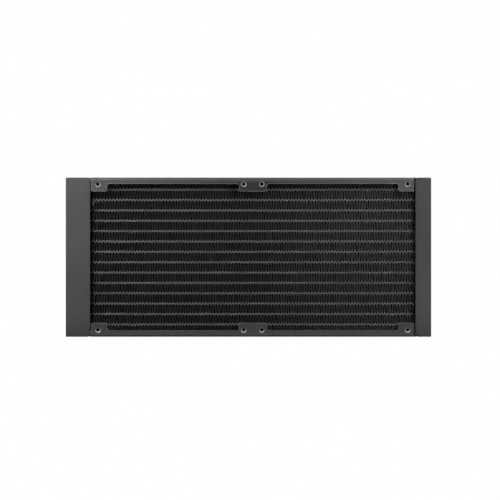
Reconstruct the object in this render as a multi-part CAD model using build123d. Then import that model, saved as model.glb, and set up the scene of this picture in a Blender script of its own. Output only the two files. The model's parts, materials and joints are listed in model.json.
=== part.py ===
from build123d import *
import math
import os

# A twin-fan liquid cooling radiator, standing on one long edge.
# +X runs from the wide inlet tank to the narrow return tank, +Z is up, and -Y is the front face.
# The origin is at the centre of the footprint, at the bottom. All sizes are in millimetres.

# Overall size
LENGTH = 312.0
DEPTH = 27.0
HEIGHT = 136.0
MID_Z = HEIGHT / 2

# End tanks and the header plates that close them
INLET_TANK_LENGTH = 20.8
RETURN_TANK_LENGTH = 13.4
TANK_WALL = 1.2
TANK_EDGE_RADIUS = 0.9
HEADER_THICKNESS = 1.5
HEADER_STEP = 0.9
HEADER_INSET = 0.25
HEADER_CORNER_RADIUS = 1.5

# Brazed joints are drawn with the thickness of their filler left open
BRAZE_GAP = 0.03

# The core runs from header face to header face
CORE_LEFT = -LENGTH / 2 + INLET_TANK_LENGTH
CORE_RIGHT = LENGTH / 2 - RETURN_TANK_LENGTH
CORE_MID = (CORE_LEFT + CORE_RIGHT) / 2
CORE_DEPTH = 18.0

# Flat tubes
TUBE_COUNT = 14
TUBE_PITCH = 8.847
TUBE_THICKNESS = 1.8
TUBE_WALL = 0.3
TUBE_REACH = 0.8

# Corrugated fin strips, which sit a little nearer the return tank
FIN_PERIOD = 2.83
FIN_PERIODS = 97
FIN_CREST = 0.86
FIN_SHEET = 0.12
FIN_HEIGHT = TUBE_PITCH - TUBE_THICKNESS - 2 * BRAZE_GAP
FIN_SHIFT = 0.45

# Core plates, between the outer fin strips and the side channels
CORE_PLATE = 1.4

# Side channels: one folded sheet along each long edge, with a fan flange at the front and back
SHEET = 1.1
BEND_RADIUS = 2.5
FLANGE_WIDTH = 5.4
TAB_DEPTH = 11.9
TAB_TIP_RADIUS = 1.5
TAB_ROOT_RADIUS = 2.2
FLANGE_SETBACK = 0.9
CORNER_TAB_REACH = 7.8
CENTRE_TAB_WIDTH = 23.8

# Fan screw holes: two 140 mm fans side by side
FAN_PITCH = 140.0
FAN_HOLE_SPACING = 124.5
SCREW_HOLE_RADIUS = 1.4
SCREW_MOUTH_RADIUS = 2.3
SCREW_MOUTH_DEPTH = 0.7
COLLAR_RADIUS = 2.3
COLLAR_HEIGHT = 1.2

# Coolant ports: G1/4 threads in the back of the inlet tank
PORT_RISE = 42.0
PORT_FLANGE_RADIUS = 8.4
PORT_FLANGE_THICKNESS = 2.0
PORT_BOSS_RADIUS = 7.4
PORT_BOSS_LENGTH = 8.0
PORT_THREAD_RADIUS = 5.72
PORT_MOUTH_RADIUS = 6.7
BAFFLE_THICKNESS = 1.5

# Bleed screw: an M5 screw with a sealing ring, sunk in the back of the return tank
BLEED_RISE = 52.0
BLEED_BOSS_RADIUS = 4.1
BLEED_BOSS_LENGTH = 7.6
BLEED_POCKET_RADIUS = 3.4
BLEED_POCKET_DEPTH = 2.6
BLEED_THREAD_RADIUS = 2.1
BLEED_SHANK_RADIUS = 2.04
BLEED_SHANK_LENGTH = 4.6
BLEED_HEAD_RADIUS = 3.15
BLEED_HEAD_HEIGHT = 1.3
BLEED_SLOT_WIDTH = 0.9
BLEED_SLOT_DEPTH = 0.8
SEAL_RADIUS = 2.65
SEAL_SECTION = 0.5
SEAL_GAP = 0.05

BACK = DEPTH / 2
INLET_X = -LENGTH / 2 + (INLET_TANK_LENGTH - HEADER_THICKNESS) / 2
RETURN_X = LENGTH / 2 - (RETURN_TANK_LENGTH - HEADER_THICKNESS) / 2


def box_between(low, high):
    """A box from its lowest corner to its highest."""
    size = [b - a for a, b in zip(low, high)]
    middle = [(a + b) / 2 for a, b in zip(low, high)]
    return Pos(*middle) * Box(*size)


def cylinder_along_y(radius, x, z, y_start, y_end):
    """A cylinder with its axis along Y."""
    middle = (y_start + y_end) / 2
    return Pos(x, middle, z) * Rot(90, 0, 0) * Cylinder(radius, abs(y_end - y_start))


def funnel_along_y(mouth_radius, throat_radius, x, z, y_mouth, depth):
    """The mouth of a hole in a front face: a cone that narrows in the +Y direction."""
    cone = Cone(throat_radius, mouth_radius, depth)
    return Pos(x, y_mouth + depth / 2, z) * Rot(90, 0, 0) * cone


def tube_height(index):
    """The height of a tube's centre, counted from the bottom."""
    return MID_Z + (index - (TUBE_COUNT - 1) / 2) * TUBE_PITCH


def flat_tube(z):
    """A flat tube with round noses and a web down its middle, open at both ends."""
    length = CORE_RIGHT - CORE_LEFT + 2 * (HEADER_THICKNESS + HEADER_STEP + TUBE_REACH)
    outer = SlotOverall(CORE_DEPTH, TUBE_THICKNESS)
    inner = SlotOverall(CORE_DEPTH - 2 * TUBE_WALL, TUBE_THICKNESS - 2 * TUBE_WALL)
    web = Rectangle(TUBE_WALL, TUBE_THICKNESS - TUBE_WALL)
    section = outer - inner + web
    return extrude(Plane(origin=(CORE_MID - length / 2, 0, z), x_dir=(0, 1, 0), z_dir=(1, 0, 0)) * section,
                   amount=length)


def fold_line():
    """The middle line of a corrugated strip, from a lower crest on: flat crests joined by steep legs."""
    half = FIN_PERIOD / 2
    start = CORE_MID + FIN_SHIFT - FIN_PERIODS * half
    level = (FIN_SHEET - FIN_HEIGHT) / 2
    points = []
    for fold in range(2 * FIN_PERIODS):
        crest_start = start + fold * half + (half - FIN_CREST) / 2
        points.append((crest_start, level))
        points.append((crest_start + FIN_CREST, level))
        level = -level
    return points


def offset_line(points, distance):
    """A polyline's parallel at a distance to its left, with mitred corners."""
    directions = []
    for a, b in zip(points, points[1:]):
        run = math.dist(a, b)
        directions.append(((b[0] - a[0]) / run, (b[1] - a[1]) / run))
    before = directions[:1] + directions
    after = directions + directions[-1:]
    moved = []
    for (x, y), d0, d1 in zip(points, before, after):
        stretch = distance / (1 + d0[0] * d1[0] + d0[1] * d1[1])
        moved.append((x - (d0[1] + d1[1]) * stretch, y + (d0[0] + d1[0]) * stretch))
    return moved


def fin_strip(z):
    """One corrugated strip of fin sheet, between two tubes."""
    line = fold_line()
    left = offset_line(line, FIN_SHEET / 2)
    right = offset_line(line, -FIN_SHEET / 2)
    outline = make_face(Polyline(*left, *reversed(right), close=True))
    front = Plane(origin=(0, CORE_DEPTH / 2, z), x_dir=(1, 0, 0), z_dir=(0, -1, 0))
    return extrude(front * outline, amount=CORE_DEPTH)


def core_plate(side):
    """The flat plate brazed over an outer fin strip: side is 1 for the top, -1 for the bottom."""
    near = side * (TUBE_COUNT * TUBE_PITCH / 2 + TUBE_PITCH / 2 - TUBE_THICKNESS / 2)
    far = near + side * CORE_PLATE
    low, high = sorted((MID_Z + near, MID_Z + far))
    return box_between((CORE_LEFT + BRAZE_GAP, -CORE_DEPTH / 2, low),
                       (CORE_RIGHT - BRAZE_GAP, CORE_DEPTH / 2, high))


def header_plate(face_x, outward):
    """A tank's closing plate, slotted for the tubes, with a step that locates it in the tank's mouth.

    face_x is the face towards the fins, and outward is the direction away from them.
    """
    section = RectangleRounded(DEPTH - 2 * HEADER_INSET, HEIGHT - 2 * HEADER_INSET, HEADER_CORNER_RADIUS)
    inside = TANK_WALL + BRAZE_GAP
    step = Rectangle(DEPTH - 2 * inside, HEIGHT - 2 * inside)
    looking_out = Plane(origin=(face_x, 0, MID_Z), x_dir=(0, 1, 0), z_dir=(outward, 0, 0))
    plate = extrude(looking_out * section, amount=HEADER_THICKNESS)
    plate += extrude(looking_out * step, amount=HEADER_THICKNESS + HEADER_STEP)
    slot = SlotOverall(CORE_DEPTH + 2 * BRAZE_GAP, TUBE_THICKNESS + 2 * BRAZE_GAP)
    slots = Sketch() + [Pos(0, tube_height(i) - MID_Z) * slot for i in range(TUBE_COUNT)]
    return plate - extrude(looking_out * slots, amount=HEADER_THICKNESS + HEADER_STEP)


def tank_shell(end_x, mouth_x):
    """A drawn tank: a box of sheet with rounded edges, open towards its header plate."""
    inward = math.copysign(1, mouth_x - end_x)
    low_x, high_x = sorted((end_x, mouth_x))
    block = box_between((low_x, -DEPTH / 2, 0), (high_x, DEPTH / 2, HEIGHT))
    mouth = block.faces().sort_by(Axis.X)[-1 if inward > 0 else 0]
    rounded = [edge for edge in block.edges() if edge not in mouth.edges()]
    shell = fillet(rounded, TANK_EDGE_RADIUS)
    inner_low, inner_high = sorted((end_x + inward * TANK_WALL, mouth_x + inward))
    hollow = box_between((inner_low, -DEPTH / 2 + TANK_WALL, TANK_WALL),
                         (inner_high, DEPTH / 2 - TANK_WALL, HEIGHT - TANK_WALL))
    return shell - hollow


def inlet_tank():
    """The wide tank, with two holes in its back for the port bosses."""
    shell = tank_shell(-LENGTH / 2, CORE_LEFT - HEADER_THICKNESS)
    for rise in (-PORT_RISE, PORT_RISE):
        shell -= cylinder_along_y(PORT_FLANGE_RADIUS + BRAZE_GAP, INLET_X, MID_Z + rise, 0, BACK + 1)
    return shell


def return_tank():
    """The narrow tank, with one hole in its back for the bleed boss."""
    shell = tank_shell(LENGTH / 2, CORE_RIGHT + HEADER_THICKNESS)
    return shell - cylinder_along_y(BLEED_BOSS_RADIUS + BRAZE_GAP, RETURN_X, MID_Z + BLEED_RISE, 0, BACK + 1)


def tank_baffle():
    """The plate across the inlet tank that sends the coolant out through one half of the tubes."""
    inside = TANK_WALL + BRAZE_GAP
    return box_between((-LENGTH / 2 + inside, -DEPTH / 2 + inside, MID_Z - BAFFLE_THICKNESS / 2),
                       (CORE_LEFT - HEADER_THICKNESS - HEADER_STEP - BRAZE_GAP, DEPTH / 2 - inside,
                        MID_Z + BAFFLE_THICKNESS / 2))


def port_boss(rise):
    """A threaded boss, flush with the tank's back and open to the inside of the tank."""
    z = MID_Z + rise
    boss = cylinder_along_y(PORT_BOSS_RADIUS, INLET_X, z, BACK - PORT_BOSS_LENGTH, BACK)
    boss += cylinder_along_y(PORT_FLANGE_RADIUS, INLET_X, z, BACK - PORT_FLANGE_THICKNESS, BACK)
    boss -= cylinder_along_y(PORT_THREAD_RADIUS, INLET_X, z, BACK - PORT_BOSS_LENGTH - 1, BACK + 1)
    chamfer_depth = PORT_MOUTH_RADIUS - PORT_THREAD_RADIUS
    mouth = funnel_along_y(PORT_MOUTH_RADIUS, PORT_THREAD_RADIUS, INLET_X, z, -BACK, chamfer_depth)
    return boss - mirror(mouth, Plane.XZ)


def bleed_boss():
    """The boss that holds the bleed screw, with a pocket for the screw's head and seal."""
    z = MID_Z + BLEED_RISE
    boss = cylinder_along_y(BLEED_BOSS_RADIUS, RETURN_X, z, BACK - BLEED_BOSS_LENGTH, BACK)
    boss -= cylinder_along_y(BLEED_THREAD_RADIUS, RETURN_X, z, BACK - BLEED_BOSS_LENGTH - 1, BACK)
    return boss - cylinder_along_y(BLEED_POCKET_RADIUS, RETURN_X, z, BACK - BLEED_POCKET_DEPTH, BACK + 1)


def bleed_seal():
    """The sealing ring under the bleed screw's head."""
    y = BACK - BLEED_POCKET_DEPTH + SEAL_GAP + SEAL_SECTION
    return Pos(RETURN_X, y, MID_Z + BLEED_RISE) * Rot(90, 0, 0) * Torus(SEAL_RADIUS, SEAL_SECTION)


def bleed_screw():
    """The slotted bleed screw, screwed home on its seal."""
    z = MID_Z + BLEED_RISE
    under_head = BACK - BLEED_POCKET_DEPTH + 2 * SEAL_GAP + 2 * SEAL_SECTION
    top = under_head + BLEED_HEAD_HEIGHT
    screw = cylinder_along_y(BLEED_HEAD_RADIUS, RETURN_X, z, under_head, top)
    rim = screw.edges().filter_by(GeomType.CIRCLE).sort_by(Axis.Y)[-1]
    screw = chamfer(rim, 0.3)
    screw += cylinder_along_y(BLEED_SHANK_RADIUS, RETURN_X, z, under_head - BLEED_SHANK_LENGTH, under_head)
    slot = box_between((RETURN_X - BLEED_HEAD_RADIUS, top - BLEED_SLOT_DEPTH, z - BLEED_SLOT_WIDTH / 2),
                       (RETURN_X + BLEED_HEAD_RADIUS, top + 1, z + BLEED_SLOT_WIDTH / 2))
    return screw - slot


def flange_outline(left, right):
    """A side channel seen from the front: a strip with a tab at each corner and one at the centre."""
    first_hole = CORE_MID - (FAN_PITCH + FAN_HOLE_SPACING) / 2
    last_hole = CORE_MID + (FAN_PITCH + FAN_HOLE_SPACING) / 2
    tabs = [(left, first_hole + CORNER_TAB_REACH),
            (CORE_MID - CENTRE_TAB_WIDTH / 2, CORE_MID + CENTRE_TAB_WIDTH / 2),
            (last_hole - CORNER_TAB_REACH, right)]
    outline = Pos((left + right) / 2, -FLANGE_WIDTH / 2) * Rectangle(right - left, FLANGE_WIDTH)
    for start, end in tabs:
        outline += Pos((start + end) / 2, -TAB_DEPTH / 2) * Rectangle(end - start, TAB_DEPTH)
    levels = outline.vertices().group_by(Axis.Y)
    outline = fillet(levels[0], TAB_TIP_RADIUS)
    roots = [v for v in outline.vertices() if math.isclose(v.Y, -FLANGE_WIDTH, abs_tol=1e-6)]
    return fillet(roots, TAB_ROOT_RADIUS)


def top_channel():
    """The side channel along the top edge, with a screw hole at every corner of both fans."""
    left = CORE_LEFT + FLANGE_SETBACK
    right = CORE_RIGHT - FLANGE_SETBACK
    outer = Pos(0, -TAB_DEPTH / 2) * Rectangle(DEPTH, TAB_DEPTH)
    outer = fillet(outer.vertices().group_by(Axis.Y)[-1], BEND_RADIUS)
    inner = Pos(0, -SHEET - TAB_DEPTH / 2) * Rectangle(DEPTH - 2 * SHEET, TAB_DEPTH)
    inner = fillet(inner.vertices().group_by(Axis.Y)[-1], BEND_RADIUS - SHEET)
    along = Plane(origin=(left, 0, HEIGHT), x_dir=(0, 1, 0), z_dir=(1, 0, 0))
    channel = extrude(along * (outer - inner), amount=right - left)
    front = Plane(origin=(0, DEPTH / 2, HEIGHT), x_dir=(1, 0, 0), z_dir=(0, -1, 0))
    channel &= extrude(front * flange_outline(left, right), amount=DEPTH)
    channel += box_between((CORE_LEFT + BRAZE_GAP, -DEPTH / 2 + BEND_RADIUS, HEIGHT - SHEET),
                           (CORE_RIGHT - BRAZE_GAP, DEPTH / 2 - BEND_RADIUS, HEIGHT))

    z = MID_Z + FAN_HOLE_SPACING / 2
    inner_face = -DEPTH / 2 + SHEET
    for fan in (-1, 1):
        for side in (-1, 1):
            x = CORE_MID + fan * FAN_PITCH / 2 + side * FAN_HOLE_SPACING / 2
            collar = cylinder_along_y(COLLAR_RADIUS, x, z, inner_face - SHEET / 2, inner_face + COLLAR_HEIGHT)
            hole = cylinder_along_y(SCREW_HOLE_RADIUS, x, z, -DEPTH / 2 - 1, inner_face + COLLAR_HEIGHT + 1)
            hole += funnel_along_y(SCREW_MOUTH_RADIUS, SCREW_HOLE_RADIUS, x, z, -DEPTH / 2, SCREW_MOUTH_DEPTH)
            channel += collar
            channel += mirror(collar, Plane.XZ)
            channel -= hole
            channel -= mirror(hole, Plane.XZ)
    return channel


def build():
    """Every piece of the radiator, by the name of its node."""
    upper = top_channel()
    pieces = {
        "tank_inlet": inlet_tank(),
        "tank_return": return_tank(),
        "header_inlet": header_plate(CORE_LEFT, -1),
        "header_return": header_plate(CORE_RIGHT, 1),
        "tank_baffle": tank_baffle(),
        "port_boss_lower": port_boss(-PORT_RISE),
        "port_boss_upper": port_boss(PORT_RISE),
        "bleed_boss": bleed_boss(),
        "bleed_seal": bleed_seal(),
        "bleed_screw": bleed_screw(),
        "channel_top": upper,
        "channel_bottom": mirror(upper, Plane.XY.offset(MID_Z)),
        "core_plate_top": core_plate(1),
        "core_plate_bottom": core_plate(-1),
    }
    for index in range(TUBE_COUNT):
        pieces[f"tube_{index + 1:02d}"] = flat_tube(tube_height(index))
    for index in range(TUBE_COUNT + 1):
        pieces[f"fin_{index + 1:02d}"] = fin_strip(tube_height(index) - TUBE_PITCH / 2)
    return pieces


os.makedirs("parts", exist_ok=True)
for name, piece in build().items():
    export_step(piece, f"parts/{name}.step")
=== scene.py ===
import json
import math

import bpy
import numpy as np
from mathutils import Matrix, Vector

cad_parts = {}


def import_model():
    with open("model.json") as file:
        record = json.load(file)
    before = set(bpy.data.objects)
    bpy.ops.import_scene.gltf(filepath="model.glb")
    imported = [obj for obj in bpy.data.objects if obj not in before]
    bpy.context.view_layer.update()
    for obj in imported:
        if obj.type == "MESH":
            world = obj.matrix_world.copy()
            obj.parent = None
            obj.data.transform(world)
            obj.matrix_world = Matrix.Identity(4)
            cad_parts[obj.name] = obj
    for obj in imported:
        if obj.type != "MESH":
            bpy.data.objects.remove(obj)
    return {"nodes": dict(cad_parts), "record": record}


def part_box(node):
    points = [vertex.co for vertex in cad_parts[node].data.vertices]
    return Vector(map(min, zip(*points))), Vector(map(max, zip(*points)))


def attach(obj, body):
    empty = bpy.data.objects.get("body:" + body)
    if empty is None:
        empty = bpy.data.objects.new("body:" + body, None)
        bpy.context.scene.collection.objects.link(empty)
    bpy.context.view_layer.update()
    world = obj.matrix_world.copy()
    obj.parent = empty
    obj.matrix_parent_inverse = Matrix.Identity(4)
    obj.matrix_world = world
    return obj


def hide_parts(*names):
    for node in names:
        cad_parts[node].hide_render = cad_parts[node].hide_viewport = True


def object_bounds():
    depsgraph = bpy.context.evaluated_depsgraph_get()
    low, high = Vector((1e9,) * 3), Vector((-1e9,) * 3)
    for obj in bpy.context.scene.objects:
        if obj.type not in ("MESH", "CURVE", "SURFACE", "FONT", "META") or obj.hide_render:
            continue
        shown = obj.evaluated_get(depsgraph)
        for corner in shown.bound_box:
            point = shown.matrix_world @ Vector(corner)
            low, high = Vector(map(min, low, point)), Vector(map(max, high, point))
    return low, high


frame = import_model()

CAD_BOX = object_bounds()
NODES = frame["nodes"]
MM = 0.001

# The core
TUBES = 14
FIN_STRIPS = 15

# A corrugated fin strip: its crests are the CAD strip's folds and, at each end, the cut of one more leg
CRESTS = 196
CREST_RADIUS = 0.64 * MM
FIN_SHEET = 0.11 * MM
FIN_RECESS = 0.25 * MM
FIN_WAVE = 1.62 * MM
CREST_JITTER = 0.10 * MM
EDGE_JITTER = 0.05 * MM

# The slats between a fin leg's plain stretches at its faces and its middle
LOUVRE_ANGLE = math.radians(36)
LOUVRES_PER_BANK = 4
LOUVRE_END_MARGIN = 0.55 * MM
FACE_MARGIN = 1.0 * MM
CENTRE_MARGIN = 0.7 * MM

# The sheet's upright tails, which close the gap between a strip and the header plates
TAIL_REACH = 1.55 * MM
TAIL_START = 4.0 * MM
TAIL_OVERLAP = 0.6 * MM
EDGE_GAP = 1.7 * MM

# A tube: the ridge of filler on its nose, the filler that climbs to each fold, and its slimmer bare ends
NOSE_HALF = 0.19 * MM
NOSE_SINK = 0.12 * MM
NOSE_SWING = 0.75 * MM
RIDGE_DEPTH = 0.42 * MM
SHOULDER_DEPTH = 0.62 * MM
SHOULDER_LIFT = 0.7
BRAZE_HEIGHT = 1.0 * MM
BRAZE_WIDTH = 0.8 * MM
BRAZE_DEPTH = 1.1 * MM
TUBE_BARE = 0.9 * MM
TUBE_BARE_SHARE = 0.93
STATIONS_PER_CREST = 6

# The one strip whose cut end is folded forward beside the wide tank
BENT_END_STRIP = 13
BENT_END_SHIFT = 0.3 * MM
BENT_END_WIDTH = 0.5 * MM
BENT_END_DEPTH = 0.4 * MM
BENT_END_LENGTH = 3.4 * MM
BENT_END_LEAN = -0.3 * MM

# The weld tack between the wide tank and the lower side channel, sunk a little into the channel's face
TACK_RADIUS = 0.62 * MM
TACK_HEIGHT = 3.7 * MM
TACK_SIDEWAYS = 0.35 * MM
TACK_SINK = 0.25 * MM
TACK_STRETCH = (0.9, 0.55, 1.35)
TACK_LUMPS = 0.06

# A port boss with its G1/4 thread, and the raised ring and the step around its bore
THREAD_PITCH = 1.337 * MM
THREAD_MINOR = 5.72 * MM
THREAD_MAJOR = 6.58 * MM
THREAD_STEEPNESS = 1.15
THREAD_FLAT = 0.05
BORE_STEP = 0.95 * MM
PORT_FLANGE_THICKNESS = 2.0 * MM
PORT_SHOULDER = 1.0 * MM
PORT_EDGE = 0.25 * MM
PORT_RING_OUTER = 7.45 * MM
PORT_RING_INNER = 7.25 * MM
PORT_STEP_RADIUS = 6.85 * MM
PORT_STEP_DEPTH = 0.15 * MM

# How wide the edges of the plain CAD pieces are rounded
TANK_ROUNDING = 0.3 * MM
HEADER_ROUNDING = 0.25 * MM
CHANNEL_ROUNDING = 0.45 * MM
ROUNDING_STEPS = 3

# The side channels: black painted shade for the gap at the seam by the narrow tank, painted light along the
# bend at the lower edge, painted shade on the lower channel, and the screw holes with their painted
# highlight and shade
SEAM_SHADE_WIDTH = 1.2 * MM
SEAM_SHADE_BLUR = 0.1 * MM
# Painted light along the lower bend: its tone is raised up to this gain, in place of light from below
BEND_RADIUS = 1.4 * MM
BEND_FADE = 3.0 * MM
BEND_PAINTED_LIGHT = 2.6
# Painted shade on the lower channel: the share of tone it keeps
LOWER_SHADE_SHARE = 0.83
# The frame's edge mask: lighter rims, both worn paint and a painted highlight
FRAME_RIM = (0.95 * MM, 0.005, 0.05)
HOLE_BORE = 1.42 * MM
HOLE_BORE_BLUR = 0.08 * MM
# Black painted shade in the screw holes' bores: how soft its edge is
BORE_SHADE_BLUR = 0.03 * MM
HOLE_MOUTH = 1.95 * MM
HOLE_MOUTH_BLUR = 0.2 * MM
HOLE_COLLAR = 2.2 * MM
HOLE_COLLAR_BLUR = 0.5 * MM
# Painted highlight on the lower side of each hole's bare mouth: from this far below its middle to this far
# above
HIGHLIGHT_BELOW = -1.7 * MM
HIGHLIGHT_ABOVE = 0.3 * MM

# Painted shade on and beside the upper middle tab: how far it reaches sideways from the middle and down
# from the top, and the share of tone it takes away
TAB_SHADE_FULL = 14.0 * MM
TAB_SHADE_CLEAR = 95.0 * MM
TAB_SHADE_TOP = 2.5 * MM
TAB_SHADE_FADE = 4.5 * MM
TAB_SHADE_SHARE = 0.5

# Painted light on the fins: how far right of the middle their tone rises to its lightest
RIGHT_LIGHT_REACH = 90.0 * MM

# Painted shade on the tanks: the foot's share of tone and how high it reaches, and what the narrow tank's
# upper part loses: shares of tone and of height
FOOT_SHADE_SHARE = 0.78
FOOT_TOP = 0.13
UPPER_SHADE_LOSS = 0.18
UPPER_START = 0.3
UPPER_FULL = 0.55

# What every paint has in common: its shine, its finest bumps, and its noises' cells per metre
SHINE = 0.5
FINE_GRAIN = 0.01 * MM
PATCHES = 28.0
WARM_PATCHES = 19.0
MOTTLING = 750.0
EDGE_WEAR_HIGHLIGHT = 420.0
GLOSS = 160.0

# The camera's view: its width, and how far its middle is from the radiator's
VIEW_WIDTH = 0.42686
VIEW_RIGHT = 1.3 * MM
VIEW_UP = 6.1 * MM


# ---------------------------------------------------------------- meshes

def new_piece(name, vertices, faces, body="radiator", smooth=False):
    """A mesh object from arrays of vertices and of equal-sided faces, riding on a body."""
    mesh = bpy.data.meshes.new(name)
    vertices = np.asarray(vertices, np.float32).reshape(-1, 3)
    faces = np.asarray(faces, np.int32)
    sides = faces.shape[1]
    mesh.vertices.add(len(vertices))
    mesh.vertices.foreach_set("co", vertices.ravel())
    mesh.loops.add(faces.size)
    mesh.loops.foreach_set("vertex_index", faces.ravel())
    mesh.polygons.add(len(faces))
    mesh.polygons.foreach_set("loop_start", np.arange(0, faces.size, sides, dtype=np.int32))
    mesh.polygons.foreach_set("use_smooth", np.full(len(faces), smooth))
    mesh.update(calc_edges=True)
    mesh.validate()
    piece = bpy.data.objects.new(name, mesh)
    bpy.context.scene.collection.objects.link(piece)
    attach(piece, body)
    return piece


# The six faces of a prism whose corners run round one end and then round the other
PRISM_FACES = np.array([(0, 3, 2, 1), (4, 5, 6, 7), (0, 1, 5, 4), (1, 2, 6, 5), (2, 3, 7, 6), (3, 0, 4, 7)])


def prisms(corners):
    """Vertices and faces of many separate prisms, given as an array that ends in 8 corners of 3."""
    corners = np.asarray(corners).reshape(-1, 8, 3)
    starts = np.arange(len(corners)) * 8
    faces = (PRISM_FACES[None] + starts[:, None, None]).reshape(-1, 4)
    return corners.reshape(-1, 3), faces


def grid_faces(rows, columns, closed=False):
    """The faces between rows of points whose ends meet; closed joins the last row to the first as well."""
    row = np.arange(rows if closed else rows - 1)[:, None]
    column = np.arange(columns)[None]
    next_row = (row + 1) % rows
    next_column = (column + 1) % columns
    corners = (row * columns + column, row * columns + next_column,
               next_row * columns + next_column, next_row * columns + column)
    return np.stack(corners, -1).reshape(-1, 4)


def sheet_section(start, end):
    """The plan of one stretch of fin sheet: its four corners across and along the air's way."""
    half = FIN_SHEET / 2
    return [(-half, start), (half, start), (half, end), (-half, end)]


def louvre_sections(depth):
    """The plan of one fin leg: for each flat or slat, its four corners across and along the air's way."""
    half = depth / 2
    flats = [(-half, -half + FACE_MARGIN), (-CENTRE_MARGIN, CENTRE_MARGIN), (half - FACE_MARGIN, half)]
    plan = []
    for start, end in flats:
        plan.append(sheet_section(start, end))
    bank = half - FACE_MARGIN - CENTRE_MARGIN
    width = bank / LOUVRES_PER_BANK
    for side in (-1, 1):
        turn = side * LOUVRE_ANGLE
        for slat in range(LOUVRES_PER_BANK):
            middle = side * (CENTRE_MARGIN + (slat + 0.5) * width)
            reach = width / 2 / math.cos(turn)
            plan.append([(x * math.cos(turn) + y * math.sin(turn),
                          middle - x * math.sin(turn) + y * math.cos(turn))
                         for x, y in sheet_section(-reach, reach)])
    return np.array(plan)


def wave_bends(depth):
    """Where the fin sheet's herringbone turns along the air's way, and where it starts and ends."""
    return np.linspace(-depth / 2, depth / 2, 5)


def fin_legs(crests, levels, depth, rng):
    """The legs between neighbouring crests, louvred but for a margin at top and bottom, as prisms."""
    plan = louvre_sections(depth)
    low = -levels + CREST_RADIUS
    high = levels - CREST_RADIUS
    inner_low = low + LOUVRE_END_MARGIN
    inner_high = high - LOUVRE_END_MARGIN
    bends = wave_bends(depth)
    full = np.array([sheet_section(start, stop) for start, stop in zip(bends, bends[1:])])
    sections = np.concatenate([plan, full, full])
    counts = (len(plan), len(full), len(full))
    bottoms = np.repeat((inner_low, low, inner_high), counts)
    tops = np.repeat((inner_high, inner_low, high), counts)
    legs = len(crests) - 1
    rising = np.where(np.arange(legs) % 2 == 0, -1, 1)
    left = crests[:-1] + CREST_RADIUS
    right = crests[1:] - CREST_RADIUS
    at_low = np.where(rising > 0, left, right)
    at_high = np.where(rising > 0, right, left)
    out = np.empty((legs, len(sections), 2, 4, 3))
    for end, heights in enumerate((bottoms, tops)):
        share = (heights - low) / (high - low)
        middle = at_low[:, None] + (at_high - at_low)[:, None] * share[None]
        out[:, :, end, :, 0] = middle[:, :, None] + sections[None, :, :, 0]
        out[:, :, end, :, 1] = sections[None, :, :, 1]
        out[:, :, end, :, 2] = heights[None, :, None]
    bent = rng.normal(0, EDGE_JITTER, legs)
    out[:, 0, :, :2, 0] += bent[:, None, None]
    return out


def fin_crests(crests, levels, start, stop):
    """The half-round folds that join the legs, as prisms: the first of them points down."""
    angles = np.linspace(0, math.pi, 7)
    rings = []
    for radius in (CREST_RADIUS - FIN_SHEET / 2, CREST_RADIUS + FIN_SHEET / 2):
        rings.append(np.stack([-radius * np.cos(angles), radius * np.sin(angles)], -1))
    inner, outer = rings
    quads = np.stack([inner[:-1], outer[:-1], outer[1:], inner[1:]], 1)
    way = np.where(np.arange(len(crests)) % 2 == 0, -1, 1)
    out = np.empty((len(crests), len(quads), 2, 4, 3))
    for end, y in enumerate((start, stop)):
        out[:, :, end, :, 0] = crests[:, None, None] + quads[None, :, :, 0]
        out[:, :, end, :, 1] = y
        height = levels - CREST_RADIUS + quads[None, :, :, 1]
        out[:, :, end, :, 2] = way[:, None, None] * height
    return out


def fin_tails(crests, bottom, top, depth):
    """Upright sheets that slant from a strip's two ends to the header plates, as prisms."""
    steps = np.linspace(-depth / 2 + TAIL_START, depth / 2 - TAIL_START, 9)
    out = np.empty((2, len(steps) - 1, 2, 4, 3))
    inset = CREST_RADIUS + TAIL_OVERLAP
    for side, (place, way) in enumerate(((crests[0] + inset, -1), (crests[-1] - inset, 1))):
        lean = way * TAIL_REACH * (steps / steps[-1])
        near = place + way * TAIL_REACH + lean - FIN_SHEET / 2
        for end, z in enumerate((bottom, top)):
            out[side, :, end, 0, 0] = near[:-1]
            out[side, :, end, 1, 0] = near[:-1] + FIN_SHEET
            out[side, :, end, 2, 0] = near[1:] + FIN_SHEET
            out[side, :, end, 3, 0] = near[1:]
            out[side, :, end, :, 1] = np.stack([steps[:-1], steps[:-1], steps[1:], steps[1:]], -1)
            out[side, :, end, :, 2] = z
    return out


def bent_end(node):
    """The cut end of a strip, where it's folded forward beside the wide tank."""
    low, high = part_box(node)
    left = low.x + BENT_END_SHIFT
    across = np.array([left, left + BENT_END_WIDTH, left + BENT_END_WIDTH, left])
    along = low.y + np.array([0.0, 0.0, 1.0, 1.0]) * BENT_END_DEPTH
    ends = [np.stack([across + lean, along, np.full(4, z)], -1)
            for lean, z in ((BENT_END_LEAN, high.z - BENT_END_LENGTH), (0.0, high.z + TAIL_OVERLAP))]
    piece = new_piece("fin_bent_end", *prisms(np.array(ends)))
    return piece


def wave(y, depth):
    """How far the fin sheet swings sideways at each place along the air's way, a herringbone."""
    share = (y / depth + 0.5) * 4
    return FIN_WAVE * np.interp(share, [0, 1, 2, 3, 4], [0, 1, 0, -1, 0])


def crest_places(node):
    """Where a fin strip's crests are along X: its CAD node's folds, and one place past them at each end."""
    low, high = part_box(node)
    half_period = (high.x - low.x - 2 * CREST_RADIUS) / (CRESTS - 3)
    return np.linspace(low.x + CREST_RADIUS - half_period, high.x - CREST_RADIUS + half_period, CRESTS)


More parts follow.
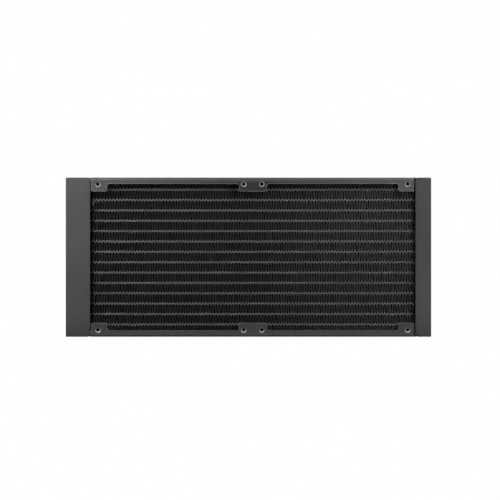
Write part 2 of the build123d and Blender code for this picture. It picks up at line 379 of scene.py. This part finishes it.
def fin_strip(index, rng):
    """One corrugated, louvred fin strip, in place of its plain CAD node."""
    node = f"fin_{index:02d}"
    low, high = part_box(node)
    middle = (low.z + high.z) / 2
    levels = (high.z - low.z) / 2 - FIN_SHEET / 2
    depth = high.y - low.y - 2 * FIN_RECESS
    crests = crest_places(node) + rng.normal(0, CREST_JITTER, CRESTS)
    legs = fin_legs(crests, levels, depth, rng)
    bends = wave_bends(depth)
    folds = [fin_crests(crests[1:-1], levels, a, b) for a, b in zip(bends, bends[1:])]
    sheets = prisms(np.concatenate([group.reshape(-1, 8, 3) for group in (legs, *folds)]))[0]
    sheets[:, 0] += wave(sheets[:, 1], depth)
    sheets[:, 0] = np.clip(sheets[:, 0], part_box("header_inlet")[1].x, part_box("header_return")[0].x)
    below = TAIL_OVERLAP + (EDGE_GAP if index == 1 else 0)
    above = TAIL_OVERLAP + (EDGE_GAP if index == FIN_STRIPS else 0)
    tails = fin_tails(crests, -levels - below, levels + above, depth)
    vertices, faces = prisms(np.concatenate([sheets, tails.reshape(-1, 3)]))
    vertices = vertices + np.array([0, (low.y + high.y) / 2, middle])
    piece = new_piece(f"fin_detail_{index:02d}", vertices, faces)
    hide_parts(node)
    return piece, crests


def braze(x, crests):
    """How much filler there is at x, from 0 to 1, beside the folds that touch the tube."""
    nearest = np.abs(x[:, None] - crests[None, :]).min(1)
    return np.exp(-(nearest / BRAZE_WIDTH) ** 2)


def tube_section(nose, reach, radius):
    """A tube's outline, once round from the front: each point's y, z, and shares of lift and swing."""
    ridge = [(-reach + NOSE_SINK * step * step, NOSE_HALF * step, 0.0, 1.0) for step in nose]
    shoulder = [(-reach + RIDGE_DEPTH, NOSE_HALF, 0.0, 1.0),
                (-reach + SHOULDER_DEPTH, radius, SHOULDER_LIFT, 0.0),
                (-reach + SHOULDER_DEPTH + BRAZE_DEPTH, radius, 0.0, 0.0)]
    lower = [(y, -z, -lifted, swung) for y, z, lifted, swung in shoulder]
    front = list(reversed(lower)) + ridge + shoulder
    return front + [(-y, z, lifted, swung) for y, z, lifted, swung in reversed(front)]


def flat_tube(index, crests_above, crests_below):
    """One flat tube with filler at every fold that it touches, in place of its plain CAD node."""
    node = f"tube_{index:02d}"
    low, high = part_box(node)
    middle = (low.z + high.z) / 2
    radius = (high.z - low.z) / 2
    stations = np.linspace(low.x, high.x, CRESTS * STATIONS_PER_CREST)
    above = braze(stations, crests_above)
    below = braze(stations, crests_below)
    nose = np.sin(np.radians(np.linspace(-90, 90, 9)))
    around = tube_section(nose, high.y, radius)
    ring = np.array([(y, z) for y, z, _, _ in around])
    lifted, swung = np.array([shares for _, _, *shares in around]).T
    lift = np.where(ring[None, :, 1] > 0, above[:, None], below[:, None]) * BRAZE_HEIGHT * lifted
    swing = (above - below)[:, None] * NOSE_SWING * swung
    vertices = np.empty((len(stations), len(ring), 3))
    vertices[:, :, 0] = stations[:, None]
    ends = [crests_above[0] - TUBE_BARE, crests_above[0], crests_below[-1], crests_below[-1] + TUBE_BARE]
    narrowing = np.interp(stations, ends, [TUBE_BARE_SHARE, 1.0, 1.0, TUBE_BARE_SHARE])
    vertices[:, :, 1] = ring[None, :, 0] * narrowing[:, None]
    vertices[:, :, 2] = middle + ring[None, :, 1] + lift + swing
    faces = grid_faces(len(stations), len(ring))
    piece = new_piece(f"tube_detail_{index:02d}", vertices, faces, smooth=True)
    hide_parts(node)
    return piece


def threaded_boss(name):
    """A port boss with a real thread cut in its bore, in place of its plain CAD node."""
    low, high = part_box(name)
    centre_x = (low.x + high.x) / 2
    centre_z = (low.z + high.z) / 2
    flange = (high.x - low.x) / 2
    barrel = flange - PORT_SHOULDER
    around = 96
    along = 72
    turns = np.linspace(0, 2 * math.pi, around, endpoint=False)
    depths = np.linspace(high.y - BORE_STEP, low.y, along)
    step = high.y - PORT_STEP_DEPTH
    under = high.y - PORT_FLANGE_THICKNESS
    rings = [(flange, under), (flange, high.y - PORT_EDGE), (flange - PORT_EDGE, high.y),
             (PORT_RING_OUTER, high.y), (PORT_RING_INNER, step), (PORT_STEP_RADIUS, step)]
    rows = [np.stack([np.full(around, r), np.full(around, y)], -1) for r, y in rings]
    for depth in depths:
        phase = (depth / THREAD_PITCH + turns / (2 * math.pi)) % 1
        groove = np.clip((1 - np.abs(2 * phase - 1)) * THREAD_STEEPNESS - THREAD_FLAT, 0, 1)
        wall = THREAD_MINOR + (THREAD_MAJOR - THREAD_MINOR) * groove
        rows.append(np.stack([wall, np.full(around, depth)], -1))
    for y in (low.y, under):
        rows.append(np.stack([np.full(around, barrel), np.full(around, y)], -1))
    rows = np.array(rows)
    vertices = np.stack([centre_x + rows[:, :, 0] * np.cos(turns), rows[:, :, 1],
                         centre_z + rows[:, :, 0] * np.sin(turns)], -1)
    piece = new_piece(f"{name}_threaded", vertices, grid_faces(len(rows), around, closed=True), smooth=True)
    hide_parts(name)
    return piece


def weld_tack(name, x, y, z, rng):
    """A small lumpy bead of weld."""
    rings, around = 12, 18
    tilt = np.linspace(0, math.pi, rings)
    turn = np.linspace(0, 2 * math.pi, around, endpoint=False)
    radius = TACK_RADIUS * (1 + TACK_LUMPS * rng.normal(0, 1, (rings, around)))
    radius[[0, -1]] = TACK_RADIUS
    wide, deep, tall = TACK_STRETCH
    vertices = np.stack([x + wide * radius * np.sin(tilt)[:, None] * np.cos(turn),
                         y + deep * radius * np.sin(tilt)[:, None] * np.sin(turn),
                         z + tall * radius * np.cos(tilt)[:, None]], -1)
    outward = [0, 3, 2, 1]
    piece = new_piece(name, vertices, grid_faces(rings, around)[:, outward], smooth=True)
    return piece


def soften(piece, width):
    """Rounds a piece's sharp edges by a bevel of this width."""
    weld = piece.modifiers.new("weld", "WELD")
    weld.merge_threshold = 1e-6
    bevel = piece.modifiers.new("bevel", "BEVEL")
    bevel.width = width
    bevel.segments = ROUNDING_STEPS
    bevel.limit_method = "ANGLE"
    bevel.angle_limit = math.radians(35)
    return piece


# ---------------------------------------------------------------- materials

class Graph:
    """A material's node tree, with short ways to add and link nodes."""

    def __init__(self, name):
        self.material = bpy.data.materials.new(name)
        self.material.use_nodes = True
        self.nodes = self.material.node_tree.nodes
        self.links = self.material.node_tree.links
        self.shader = next(n for n in self.nodes if n.type == "BSDF_PRINCIPLED")
        self.place = self.nodes.new("ShaderNodeTexCoord").outputs["Object"]

    def node(self, kind, **settings):
        made = self.nodes.new(kind)
        for key, value in settings.items():
            setattr(made, key, value)
        return made

    def link(self, source, target):
        self.links.new(source, target)

    def noise(self, scale, detail=4.0, stretch=None):
        """Noise of this many cells per metre; stretch is a scale for each axis."""
        made = self.node("ShaderNodeTexNoise")
        made.inputs["Scale"].default_value = scale
        made.inputs["Detail"].default_value = detail
        source = self.place
        if stretch:
            mapping = self.node("ShaderNodeMapping")
            mapping.inputs["Scale"].default_value = stretch
            self.link(source, mapping.inputs["Vector"])
            source = mapping.outputs["Vector"]
        self.link(source, made.inputs["Vector"])
        return made.outputs["Fac"]

    def spread(self, source, low, high, start=0.3, end=0.7):
        """Maps a value's range from start..end to low..high."""
        made = self.node("ShaderNodeMapRange")
        for key, value in (("From Min", start), ("From Max", end), ("To Min", low), ("To Max", high)):
            made.inputs[key].default_value = value
        self.link(source, made.inputs["Value"])
        return made.outputs["Result"]

    def parts(self):
        """The X, Y and Z of the shaded point, in the radiator's own frame."""
        made = self.node("ShaderNodeSeparateXYZ")
        self.link(self.place, made.inputs[0])
        return made.outputs

    def math(self, operation, *values):
        made = self.node("ShaderNodeMath", operation=operation)
        for socket, value in zip(made.inputs, values):
            if isinstance(value, (int, float)):
                socket.default_value = value
            else:
                self.link(value, socket)
        return made.outputs[0]

    def blend(self, factor, first, second):
        """A colour between two colours."""
        made = self.node("ShaderNodeMix", data_type="RGBA")
        if isinstance(factor, (int, float)):
            made.inputs[0].default_value = factor
        else:
            self.link(factor, made.inputs[0])
        for socket, value in ((made.inputs[6], first), (made.inputs[7], second)):
            if isinstance(value, tuple):
                socket.default_value = (*value, 1)
            else:
                self.link(value, socket)
        return made.outputs[2]

    def bump(self, height, strength, distance, below=None):
        made = self.node("ShaderNodeBump")
        made.inputs["Strength"].default_value = strength
        made.inputs["Distance"].default_value = distance
        self.link(height, made.inputs["Height"])
        if below:
            self.link(below, made.inputs["Normal"])
        return made.outputs["Normal"]

    def edges(self, radius, low=0.02, high=0.25):
        """1 on the piece's edges and 0 on its faces, from how far a rounding would turn the surface."""
        rounded = self.node("ShaderNodeBevel", samples=4)
        rounded.inputs["Radius"].default_value = radius
        plain = self.node("ShaderNodeNewGeometry").outputs["Normal"]
        alike = self.node("ShaderNodeVectorMath", operation="DOT_PRODUCT")
        self.link(rounded.outputs["Normal"], alike.inputs[0])
        self.link(plain, alike.inputs[1])
        return self.spread(self.math("SUBTRACT", 1.0, alike.outputs["Value"]), 0.0, 1.0, low, high)


def grey(value, tint=1.075):
    """A neutral grey that leans a little to blue."""
    return (value, value, value * tint)


def paint(name, dark, light, roughness, grain, grain_depth, brushed=None, mottle=0.5,
          rim=(0.35 * MM, 0.02, 0.25), edge_wear_and_highlight_gain=2.0):
    """Black paint on metal: patchy tone, a faint warm cast, fine grain, and lighter edges, both thin paint
    and a painted highlight.
    """
    g = Graph(name)
    patches = g.noise(PATCHES, 3.0)
    speckle = g.noise(grain, 2.0)
    tone = g.blend(g.spread(patches, 0.0, 1.0), grey(dark), grey(light))
    middle = (dark + light) / 2
    warm = (middle * 1.03, middle * 0.98, middle * 1.08)
    tone = g.blend(g.spread(g.noise(WARM_PATCHES, 2.0), 0.0, 0.7), tone, warm)
    tone = g.blend(g.spread(g.noise(MOTTLING, 3.0), 0.0, mottle), tone, grey(light * 1.2))
    tone = g.blend(g.spread(speckle, 0.0, 0.45, 0.42, 0.72), tone, grey(light * 1.35))
    # Lighter edges: thin paint and a painted highlight
    edge_wear_and_highlight = g.math("MULTIPLY", g.edges(*rim), g.spread(g.noise(EDGE_WEAR_HIGHLIGHT), 0.35, 0.9))
    tone = g.blend(edge_wear_and_highlight, tone, grey(light * edge_wear_and_highlight_gain))
    g.link(tone, g.shader.inputs["Base Color"])
    g.link(g.spread(g.noise(GLOSS), roughness - 0.05, roughness + 0.06), g.shader.inputs["Roughness"])
    g.shader.inputs["Specular IOR Level"].default_value = SHINE
    normal = g.bump(speckle, 0.5, grain_depth)
    if brushed:
        normal = g.bump(g.noise(1.0, 2.0, brushed), 0.25, FINE_GRAIN, normal)
    g.link(normal, g.shader.inputs["Normal"])
    return g


def scale_tone(g, share):
    """Multiplies a paint's tone and its shine by a share."""
    shade = g.node("ShaderNodeCombineXYZ")
    for socket in shade.inputs:
        g.link(share, socket)
    product = g.node("ShaderNodeVectorMath", operation="MULTIPLY")
    g.link(g.shader.inputs["Base Color"].links[0].from_socket, product.inputs[0])
    g.link(shade.outputs[0], product.inputs[1])
    g.link(product.outputs[0], g.shader.inputs["Base Color"])
    g.link(g.math("MULTIPLY", share, SHINE), g.shader.inputs["Specular IOR Level"])


def tank_paint(name, dark, light):
    """Satin paint, with painted shade along the foot and on the upper part of the narrow tank."""
    g = paint(name, dark, light, roughness=0.42, grain=2600.0, grain_depth=0.02 * MM,
              brushed=(5200.0, 5200.0, 90.0), mottle=0.25)
    x, _, z = g.parts()
    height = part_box("tank_return")[1].z
    # Painted shade: darker along the foot, and on the narrow tank's upper part
    foot = g.spread(z, FOOT_SHADE_SHARE, 1.0, 0.0, FOOT_TOP * height)
    upper_shade_loss = g.spread(z, 0.0, UPPER_SHADE_LOSS, UPPER_START * height, UPPER_FULL * height)
    upper = g.math("MULTIPLY", g.math("GREATER_THAN", x, 0.0), upper_shade_loss)
    scale_tone(g, g.math("MULTIPLY", foot, g.math("SUBTRACT", 1.0, upper)))
    return g.material


def fan_places():
    """The middle between the two fans along X, one fan's centre, and half its screw holes' spacings."""
    mounts = {mount["name"]: mount for mount in frame["record"]["mounts"]}
    fan = mounts["fan_front_right"]
    middle_x = (mounts["fan_front_left"]["pos_m"][0] + fan["pos_m"][0]) / 2
    half_x, half_z = (fan["dims"][f"spacing_{axis}_mm"] / 2 * MM for axis in "xy")
    return middle_x, fan["pos_m"], half_x, half_z


def screw_hole_distance(g, x, z):
    """How far a point is, in the XZ plane, from the axis of the nearest fan screw hole."""
    middle_x, centre, half_x, half_z = fan_places()
    fans = g.math("ABSOLUTE", g.math("SUBTRACT", x, middle_x))
    along = g.math("ABSOLUTE", g.math("SUBTRACT", fans, centre[0] - middle_x))
    across = g.math("ABSOLUTE", g.math("SUBTRACT", z, centre[2]))
    dx = g.math("SUBTRACT", along, half_x)
    dz = g.math("SUBTRACT", across, half_z)
    return g.math("SQRT", g.math("ADD", g.math("MULTIPLY", dx, dx), g.math("MULTIPLY", dz, dz)))


def above_screw_hole(g, z):
    """How far a point is above the middle of the nearest row of screw holes; it's negative below."""
    _, centre, _, half_z = fan_places()
    across = g.math("SUBTRACT", z, centre[2])
    return g.math("SUBTRACT", across, g.math("MULTIPLY", g.math("SIGN", across), half_z))


def frame_shade(g, x, z):
    """The paint's tone against its full one, with painted light and shade: painted shade low down, and on
    and beside the upper middle tab but not on its edges, painted light along the lower bend, and black
    painted shade for the gap at the right seam."""
    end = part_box("channel_top")[1]
    sideways = g.math("ABSOLUTE", g.math("SUBTRACT", x, fan_places()[0]))
    near_middle = g.spread(sideways, 1.0, 0.0, TAB_SHADE_FULL, TAB_SHADE_CLEAR)
    low_on_face = g.spread(z, 1.0, 0.0, end.z - TAB_SHADE_FADE, end.z - TAB_SHADE_TOP)
    upper_half = g.math("GREATER_THAN", z, end.z / 2)
    on_face = g.math("SUBTRACT", 1.0, g.edges(*FRAME_RIM))
    # Painted shade on the upper middle tab, kept off its rims
    tab = g.math("MULTIPLY", near_middle, low_on_face)
    tab_shade = g.math("MULTIPLY", tab, g.math("MULTIPLY", upper_half, on_face))
    shade = g.math("SUBTRACT", 1.0, g.math("MULTIPLY", tab_shade, TAB_SHADE_SHARE))
    # Painted shade: a black band on the channel's end stands in for the shaded gap at the seam
    seam_shade = g.spread(x, 1.0, 0.05, end.x - SEAM_SHADE_WIDTH - SEAM_SHADE_BLUR, end.x - SEAM_SHADE_WIDTH)
    # Painted shade: darker low down
    lower = g.spread(z, LOWER_SHADE_SHARE, 1.0, 0.2 * end.z, 0.8 * end.z)
    # Painted light: the lower bend's tone is raised
    bend_light = g.spread(z, BEND_PAINTED_LIGHT, 1.0, BEND_RADIUS, BEND_FADE)
    return g.math("MULTIPLY", g.math("MULTIPLY", shade, seam_shade), g.math("MULTIPLY", lower, bend_light))


def hole_metal(g, z):
    """Bare metal in the mouth of a screw hole, with a painted highlight below the hole's middle, stronger
    in the lower row of holes.
    """
    metal = g.blend(g.spread(g.noise(900.0), 0.0, 1.0), (0.24, 0.24, 0.245), (0.32, 0.32, 0.325))
    upper_row = g.math("GREATER_THAN", z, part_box("channel_top")[1].z / 2)
    # Painted highlight: brighter metal below the middle, strongest in the lower row
    painted_highlight_metal = g.blend(upper_row, (0.62, 0.62, 0.63), (0.34, 0.34, 0.345))
    return g.blend(g.spread(above_screw_hole(g, z), 1.0, 0.0, HIGHLIGHT_BELOW, HIGHLIGHT_ABOVE), metal, painted_highlight_metal)


def frame_paint():
    """Powder coat, with bare metal where the screw holes were tapped after painting, a painted highlight on
    its lower side, and black painted shade in the bores.
    """
    g = paint("powder_coat_frame", dark=0.044, light=0.056, roughness=0.5, grain=1900.0,
              grain_depth=0.05 * MM, mottle=0.8, rim=FRAME_RIM, edge_wear_and_highlight_gain=6.0)
    x, _, z = g.parts()
    scale_tone(g, frame_shade(g, x, z))
    away = screw_hole_distance(g, x, z)
    bare = g.math("MULTIPLY", g.spread(away, 1.0, 0.0, HOLE_MOUTH, HOLE_MOUTH + HOLE_MOUTH_BLUR),
                  g.spread(away, 0.0, 1.0, HOLE_BORE, HOLE_BORE + HOLE_BORE_BLUR))
    # Painted shade: the bore is blackened
    bore_shade = g.spread(away, 1.0, 0.0, HOLE_BORE, HOLE_BORE + BORE_SHADE_BLUR)
    painted = g.shader.inputs["Base Color"].links[0].from_socket
    around = g.blend(bare, painted, hole_metal(g, z))
    g.link(g.blend(bore_shade, around, grey(0.012)), g.shader.inputs["Base Color"])
    g.link(g.math("MULTIPLY", bare, 0.15), g.shader.inputs["Metallic"])
    return g.material


def paint_core_light_and_shade(g, reach, clear, full, inside, right=1.0):
    """Painted light and shade on the core: multiplies the paint's tone by `inside` in the core's depth, as
    painted shade, and by `right` towards the narrow tank, as painted light, and blackens it behind the
    screw holes' collars, as painted shade."""
    x, y, z = g.parts()
    depth = g.math("SUBTRACT", reach, g.math("ABSOLUTE", y))
    collar = screw_hole_distance(g, x, z)
    behind_hole = g.spread(collar, 0.1, 1.0, HOLE_COLLAR, HOLE_COLLAR + HOLE_COLLAR_BLUR)
    sideways = g.math("MULTIPLY", behind_hole, g.spread(x, 1.0, right, 0.0, RIGHT_LIGHT_REACH))
    scale_tone(g, g.math("MULTIPLY", g.spread(depth, 1.0, inside, clear, full), sideways))


def tube_paint():
    """Satin paint on the tubes, light at their noses as a painted highlight, with painted shade behind the
    noses.
    """
    g = paint("satin_black_tube_painted_highlight", dark=0.245, light=0.325, roughness=0.45, grain=1500.0,
              grain_depth=0.03 * MM)
    paint_core_light_and_shade(g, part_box("tube_01")[1].y, clear=0.2 * MM, full=0.45 * MM, inside=0.10)
    return g.material


def fin_paint():
    """Thin paint on the fin sheet, with painted shade except close to its faces, and painted light towards
    the narrow tank.
    """
    g = paint("thin_black_fin", dark=0.041, light=0.060, roughness=0.5, grain=2400.0,
              grain_depth=0.01 * MM)
    paint_core_light_and_shade(g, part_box("fin_01")[1].y, clear=0.35 * MM, full=1.3 * MM, inside=0.03, right=1.6)
    return g.material


def machined_metal(name, dark, light, roughness):
    """Bare metal with smudges, a little grain and brighter edges."""
    g = Graph(name)
    tone = g.blend(g.spread(g.noise(300.0, 5.0), 0.0, 1.0), grey(dark, 1.01), grey(light, 1.01))
    # Brighter edges: wear and a painted highlight
    edge_wear_and_highlight = g.edges(0.2 * MM)
    tone = g.blend(g.math("MULTIPLY", edge_wear_and_highlight, 0.6), tone, grey(min(light * 1.5, 0.8), 1.01))
    g.link(tone, g.shader.inputs["Base Color"])
    g.shader.inputs["Metallic"].default_value = 1.0
    g.link(g.spread(g.noise(700.0), roughness - 0.06, roughness + 0.08), g.shader.inputs["Roughness"])
    g.link(g.bump(g.noise(2500.0), 0.3, FINE_GRAIN), g.shader.inputs["Normal"])
    return g.material


def rubber():
    """Dull black rubber with a little grain."""
    g = Graph("seal_rubber_black")
    tone = g.blend(g.spread(g.noise(900.0), 0.0, 1.0), grey(0.012), grey(0.03))
    g.link(tone, g.shader.inputs["Base Color"])
    g.link(g.spread(g.noise(1500.0), 0.55, 0.75), g.shader.inputs["Roughness"])
    g.link(g.bump(g.noise(3000.0), 0.4, FINE_GRAIN), g.shader.inputs["Normal"])
    return g.material


def dress(piece, material):
    """Gives a piece this material and no other."""
    piece.data.materials.clear()
    piece.data.materials.append(material)


# ---------------------------------------------------------------- the room

def floor():
    """A wide pale floor, which fades to white far away and throws no light on the radiator."""
    size = 30.0
    corners = [(-size, -size, 0), (size, -size, 0), (size, size, 0), (-size, size, 0)]
    mesh = bpy.data.meshes.new("floor")
    mesh.from_pydata(corners, [], [(0, 1, 2, 3)])
    plane = bpy.data.objects.new("floor", mesh)
    bpy.context.scene.collection.objects.link(plane)
    g = Graph("pale_floor")
    g.link(g.blend(g.noise(3.0), (0.80, 0.80, 0.80), (0.84, 0.84, 0.84)), g.shader.inputs["Base Color"])
    g.shader.inputs["Roughness"].default_value = 0.9
    g.shader.inputs["Emission Color"].default_value = (1, 1, 1, 1)
    away = g.node("ShaderNodeVectorMath", operation="LENGTH")
    g.link(g.place, away.inputs[0])
    g.link(g.spread(away.outputs["Value"], 0.42, 1.0, 0.35, 2.2), g.shader.inputs["Emission Strength"])
    mesh.materials.append(g.material)
    plane.visible_diffuse = False
    plane.visible_glossy = False


def world():
    """White to the camera, and otherwise a soft light from behind the radiator and from above."""
    made = bpy.data.worlds.new("studio")
    bpy.context.scene.world = made
    made.use_nodes = True
    nodes, links = made.node_tree.nodes, made.node_tree.links
    output = next(n for n in nodes if n.type == "OUTPUT_WORLD")
    lit = next(n for n in nodes if n.type == "BACKGROUND")
    seen = nodes.new("ShaderNodeBackground")
    seen.inputs["Color"].default_value = (1, 1, 1, 1)
    place = nodes.new("ShaderNodeTexCoord")
    parts = nodes.new("ShaderNodeSeparateXYZ")
    behind = nodes.new("ShaderNodeMapRange")
    above = nodes.new("ShaderNodeMapRange")
    total = nodes.new("ShaderNodeMath")
    for node, start, end, strong in ((behind, -0.1, 0.7, 0.55), (above, 0.1, 1.0, 0.32)):
        for key, value in (("From Min", start), ("From Max", end), ("To Min", 0.0), ("To Max", strong)):
            node.inputs[key].default_value = value
    choice = nodes.new("ShaderNodeMixShader")
    path = nodes.new("ShaderNodeLightPath")
    links.new(place.outputs["Generated"], parts.inputs[0])
    links.new(parts.outputs["Y"], behind.inputs["Value"])
    links.new(parts.outputs["Z"], above.inputs["Value"])
    links.new(behind.outputs["Result"], total.inputs[0])
    links.new(above.outputs["Result"], total.inputs[1])
    links.new(total.outputs[0], lit.inputs["Color"])
    links.new(path.outputs["Is Camera Ray"], choice.inputs[0])
    links.new(lit.outputs[0], choice.inputs[1])
    links.new(seen.outputs[0], choice.inputs[2])
    links.new(choice.outputs[0], output.inputs["Surface"])


def lamp(name, place, aim, size, power):
    """A square soft light that the camera doesn't see."""
    data = bpy.data.lights.new(name, "AREA")
    data.shape = "SQUARE"
    data.size = size
    data.energy = power
    made = bpy.data.objects.new(name, data)
    made.location = place
    made.rotation_euler = (Vector(aim) - Vector(place)).to_track_quat("-Z", "Y").to_euler()
    made.visible_camera = False
    bpy.context.scene.collection.objects.link(made)


def camera(centre):
    """A square-on camera without perspective, with the radiator a little below the frame's middle."""
    data = bpy.data.cameras.new("camera")
    data.type = "ORTHO"
    data.ortho_scale = VIEW_WIDTH
    data.clip_end = 50
    made = bpy.data.objects.new("camera", data)
    made.location = (centre.x + VIEW_RIGHT, -2.0, centre.z + VIEW_UP)
    made.rotation_euler = (math.radians(90), 0, 0)
    bpy.context.scene.collection.objects.link(made)
    bpy.context.scene.camera = made


# ---------------------------------------------------------------- the radiator

CENTRE = (CAD_BOX[0] + CAD_BOX[1]) / 2
camera(CENTRE)
world()
floor()
lamp("front", (0.0, -1.6, 0.16), CENTRE, 0.3, 2.05)
lamp("upper_left", (-0.36, -0.22, 0.30), CENTRE, 0.15, 1.2)
lamp("near_left", (-0.24, -0.16, 0.28), CENTRE, 0.12, 0.34)
lamp("near_right", (0.26, -0.16, 0.28), CENTRE, 0.12, 0.48)
lamp("right", (0.42, -0.40, 0.10), CENTRE, 0.2, 0.6)
lamp("top", (0.0, -0.15, 0.9), CENTRE, 0.5, 0.3)
lamp("back", (0.3, 1.0, 0.9), CENTRE, 0.8, 9.0)
bpy.context.scene.view_settings.view_transform = "Standard"

rng = np.random.default_rng(7)
fins = [fin_strip(index, rng) for index in range(1, FIN_STRIPS + 1)]
fin_material = fin_paint()
for piece, _ in fins:
    dress(piece, fin_material)

tube_material = tube_paint()
for index in range(1, TUBES + 1):
    upward_folds_below = fins[index - 1][1][2:-1:2]
    downward_folds_above = fins[index][1][1:-1:2]
    dress(flat_tube(index, downward_folds_above, upward_folds_below), tube_material)

# The bent end takes the tubes' light paint, a painted highlight
dress(bent_end(f"fin_{BENT_END_STRIP:02d}"), tube_material)

tank_material = tank_paint("satin_black_tank", dark=0.046, light=0.058)
for name in ("tank_inlet", "tank_return"):
    dress(soften(NODES[name], TANK_ROUNDING), tank_material)
# The header plates take a darker copy of the tanks' paint: painted shade for their recess beside the tanks
header_material = tank_paint("satin_black_header", dark=0.038, light=0.048)
for name in ("header_inlet", "header_return"):
    dress(soften(NODES[name], HEADER_ROUNDING), header_material)
frame_material = frame_paint()
for name in ("channel_top", "channel_bottom"):
    dress(soften(NODES[name], CHANNEL_ROUNDING), frame_material)
for name in ("core_plate_top", "core_plate_bottom"):
    dress(NODES[name], fin_material)
dress(NODES["tank_baffle"], machined_metal("mill_aluminium", dark=0.5, light=0.62, roughness=0.4))
port_material = machined_metal("port_aluminium", dark=0.30, light=0.42, roughness=0.34)
for name in ("port_boss_lower", "port_boss_upper"):
    dress(threaded_boss(name), port_material)
dress(NODES["bleed_boss"], port_material)
dress(NODES["bleed_screw"], machined_metal("black_zinc_steel", dark=0.10, light=0.16, roughness=0.38))
dress(NODES["bleed_seal"], rubber())

front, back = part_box("channel_bottom")
tack_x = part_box("header_inlet")[1].x + TACK_SIDEWAYS
tack_material = machined_metal("weld_metal", dark=0.17, light=0.26, roughness=0.45)
for name, y in (("weld_tack_front", front.y + TACK_SINK), ("weld_tack_back", back.y - TACK_SINK)):
    dress(weld_tack(name, tack_x, y, front.z + TACK_HEIGHT, rng), tack_material)
